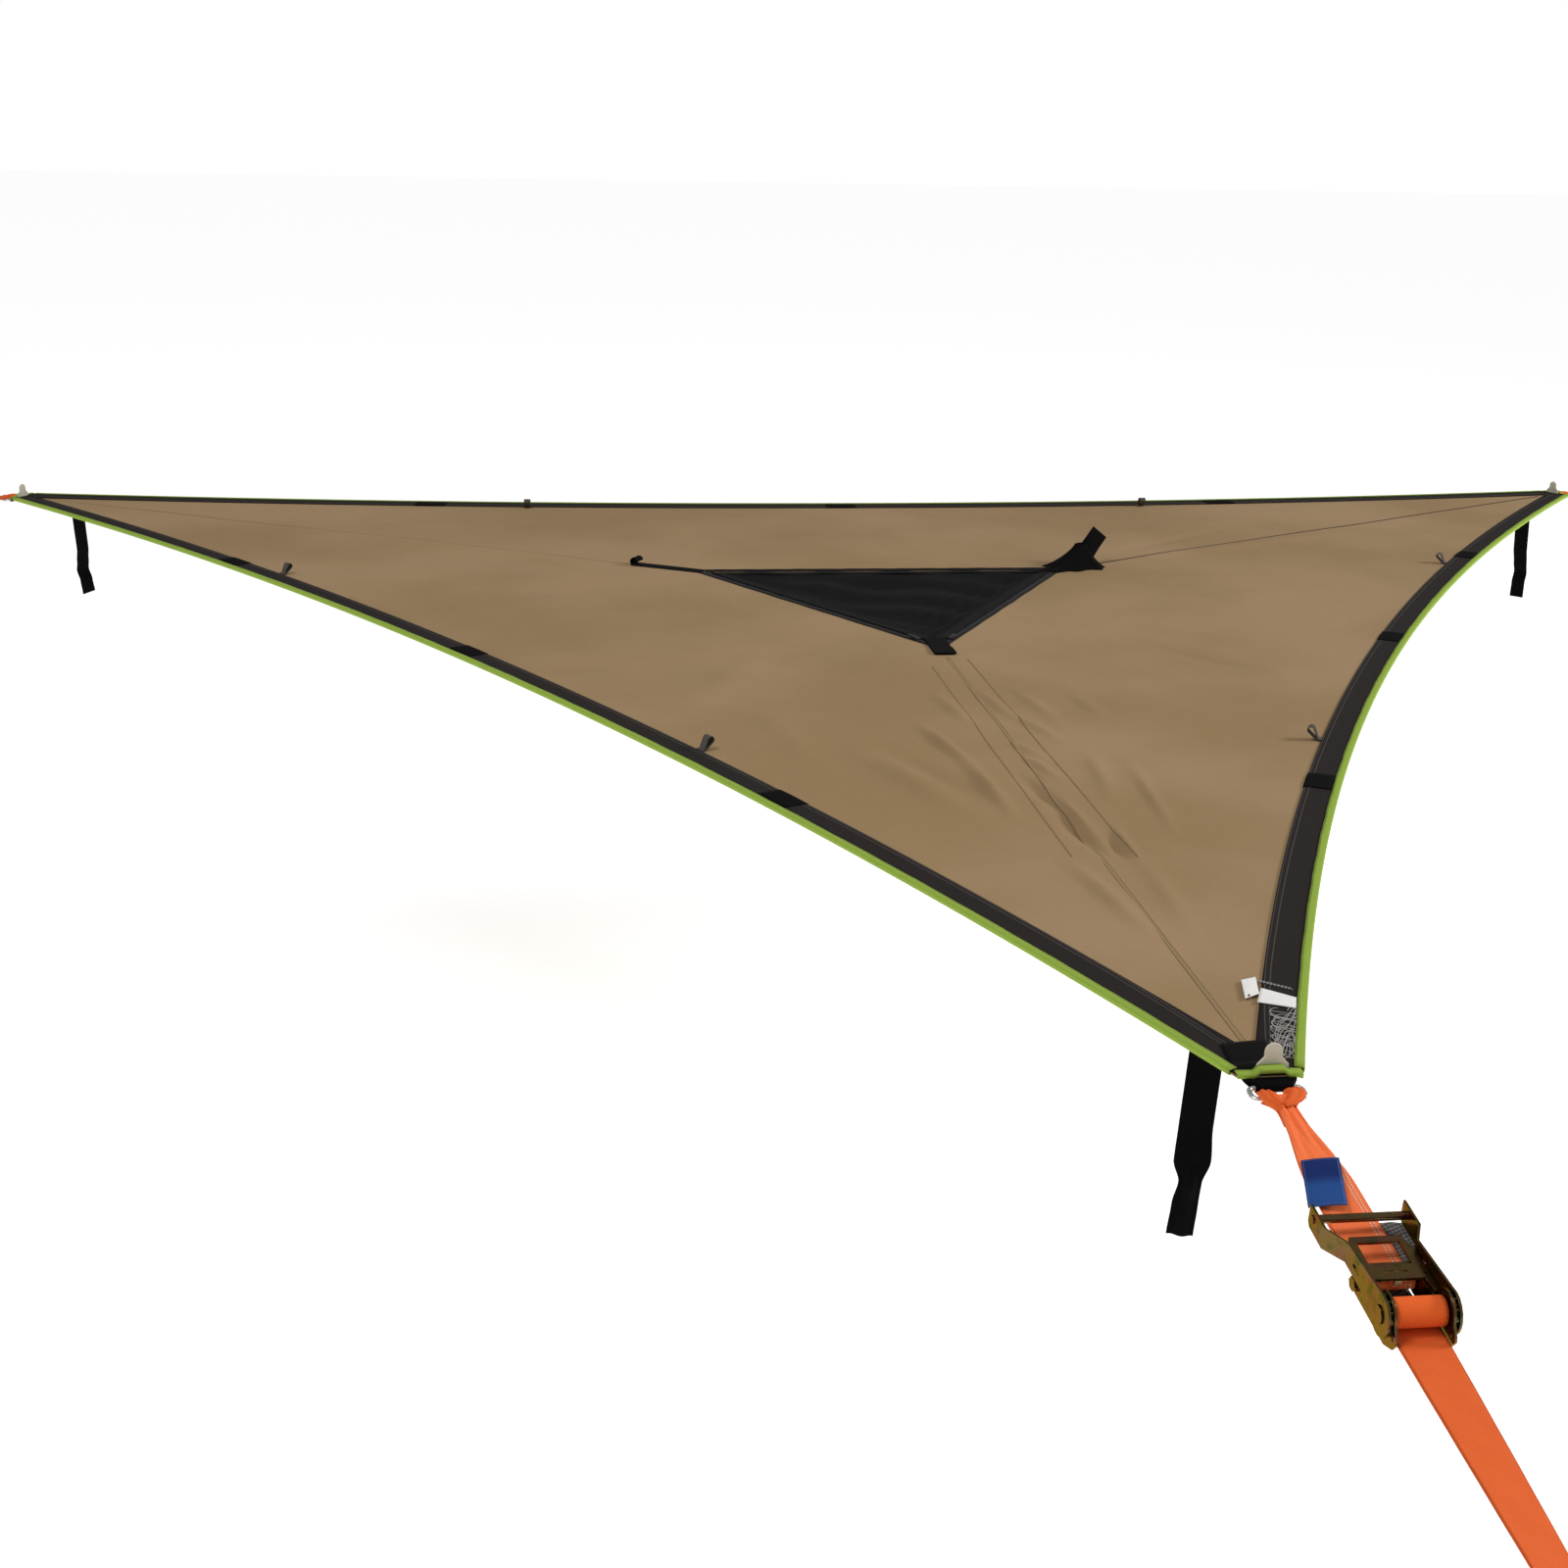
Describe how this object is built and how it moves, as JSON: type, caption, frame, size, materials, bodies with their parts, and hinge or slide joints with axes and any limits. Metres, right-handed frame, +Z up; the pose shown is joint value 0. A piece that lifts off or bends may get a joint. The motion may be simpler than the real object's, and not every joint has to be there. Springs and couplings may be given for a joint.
{
  "type": "tree tent",
  "caption": "Triangular tree tent: a taut floor with a zipped mesh hatch, hung at its corners from webbing lines, one shown with its ratchet",
  "frame": {"origin": "centre of the floor triangle, in the middle plane of the floor cloth", "axes": "+Z up, -Y towards the near corner with the ratchet line, +X to the right seen from that corner"},
  "size_m": [4.6854, 4.5585, 0.3589],
  "materials": {
    "floor_fabric": "tan coated woven cloth",
    "hem_webbing": "charcoal heavy webbing",
    "lime_binding": "lime woven binding tape",
    "lug_plastic": "milky moulded plastic",
    "black_webbing": "black woven webbing",
    "ring_steel": "bright welded steel wire",
    "orange_webbing": "orange ratchet webbing",
    "label_fabric": "blue coated label, left bare",
    "grey_webbing": "grey narrow webbing",
    "mesh_fabric": "fine black insect mesh",
    "zip_tape": "dark zip tape with coil teeth",
    "slider_metal": "black painted slider",
    "zinc_steel": "yellow zinc-plated pressed steel",
    "spring_steel": "plain spring wire"
  },
  "bodies": {
    "tent": {"floor_panel_right": "floor_fabric", "floor_panel_far": "floor_fabric", "floor_panel_left": "floor_fabric", "hem_right": "hem_webbing", "hem_far": "hem_webbing", "hem_left": "hem_webbing", "edge_binding_right": "lime_binding", "edge_binding_far": "lime_binding", "edge_binding_left": "lime_binding", "near_corner_band": "lime_binding", "right_corner_band": "lime_binding", "left_corner_band": "lime_binding", "near_lug": "lug_plastic", "right_lug": "lug_plastic", "left_lug": "lug_plastic", "near_corner_loop": "black_webbing", "right_corner_loop": "black_webbing", "left_corner_loop": "black_webbing", "gear_loop_right_1": "grey_webbing", "gear_loop_right_2": "grey_webbing", "gear_loop_far_1": "grey_webbing", "gear_loop_far_2": "grey_webbing", "gear_loop_left_1": "grey_webbing", "gear_loop_left_2": "grey_webbing", "zip_tape_left": "zip_tape", "zip_tape_right": "zip_tape", "hatch_hinge_hem": "black_webbing", "hatch_tab_left": "black_webbing", "hatch_tab_right": "black_webbing"},
    "near_line": {"near_ring": "ring_steel", "near_short_strap": "orange_webbing", "strap_label": "label_fabric", "near_tree_strap": "orange_webbing", "ratchet_frame": "zinc_steel", "fixed_bolt": "zinc_steel", "fixed_nut": "zinc_steel", "lock_spring": "spring_steel"},
    "drum": {"drum_spindle": "zinc_steel", "ratchet_wheel_left": "zinc_steel", "ratchet_wheel_right": "zinc_steel", "wound_webbing": "orange_webbing"},
    "lock_pawl": {"lock_pawl": "zinc_steel"},
    "handle": {"ratchet_handle": "zinc_steel", "drive_spring": "spring_steel"},
    "drive_pawl": {"drive_pawl": "zinc_steel"},
    "right_line": {"right_ring": "ring_steel", "right_strap": "orange_webbing"},
    "left_line": {"left_ring": "ring_steel", "left_strap": "orange_webbing"},
    "near_hanging_strap": {"near_hanging_strap": "black_webbing"},
    "right_hanging_strap": {"right_hanging_strap": "black_webbing"},
    "left_hanging_strap": {"left_hanging_strap": "black_webbing"},
    "hatch_flap": {"hatch_mesh_flap": "mesh_fabric", "hatch_tab_near": "black_webbing"},
    "zip_slider_left": {"zip_slider_left": "slider_metal"},
    "zip_slider_right": {"zip_slider_right": "slider_metal"}
  },
  "joints": [
    {"name": "near_line_swing", "type": "hinge", "parent": "tent", "child": "near_line", "pos_m": [0, -2.38114, -0.006], "axis": [1, 0, 0], "range_deg": [-60, 65]},
    {"name": "right_line_swing", "type": "hinge", "parent": "tent", "child": "right_line", "pos_m": [2.06212, 1.19057, -0.006], "axis": [-0.5, 0.866, 0], "range_deg": [-60, 65]},
    {"name": "left_line_swing", "type": "hinge", "parent": "tent", "child": "left_line", "pos_m": [-2.06212, 1.19057, -0.006], "axis": [-0.5, -0.866, 0], "range_deg": [-60, 65]},
    {"name": "near_hanging_strap_swing", "type": "hinge", "parent": "tent", "child": "near_hanging_strap", "pos_m": [0, -2.20214, -0.0018], "axis": [1, 0, 0], "range_deg": [-45, 45]},
    {"name": "right_hanging_strap_swing", "type": "hinge", "parent": "tent", "child": "right_hanging_strap", "pos_m": [1.90711, 1.10107, -0.0018], "axis": [-0.5, 0.866, 0], "range_deg": [-45, 45]},
    {"name": "left_hanging_strap_swing", "type": "hinge", "parent": "tent", "child": "left_hanging_strap", "pos_m": [-1.90711, 1.10107, -0.0018], "axis": [-0.5, -0.866, 0], "range_deg": [-45, 45]},
    {"name": "handle_pivot", "type": "hinge", "parent": "near_line", "child": "handle", "pos_m": [0, -2.77398, -0.04065], "axis": [1, 0, 0], "range_deg": [0, 165]},
    {"name": "drum_spin", "type": "hinge", "parent": "near_line", "child": "drum", "pos_m": [0, -2.77398, -0.04065], "axis": [1, 0, 0], "continuous": true},
    {"name": "lock_pawl_slide", "type": "slide", "parent": "near_line", "child": "lock_pawl", "axis": [0, 0.9239, -0.3827], "range_m": [0, 0.005], "stiffness_N_per_m": 300, "springref_m": -0.004, "deforming": ["lock_spring"]},
    {"name": "drive_pawl_slide", "type": "slide", "parent": "handle", "child": "drive_pawl", "axis": [0, 0.9914, 0.1305], "range_m": [0, 0.006], "stiffness_N_per_m": 300, "springref_m": -0.004, "deforming": ["drive_spring"]},
    {"name": "hatch_flap_hinge", "type": "hinge", "parent": "tent", "child": "hatch_flap", "pos_m": [0, 0.223, 0], "axis": [-1, 0, 0], "range_deg": [0, 120]},
    {"name": "zip_slide_left", "type": "slide", "parent": "tent", "child": "zip_slider_left", "axis": [-0.5, 0.866, 0], "range_m": [0, 0.669]},
    {"name": "zip_slide_right", "type": "slide", "parent": "tent", "child": "zip_slider_right", "axis": [0.5, 0.866, 0], "range_m": [0, 0.669]}
  ]
}
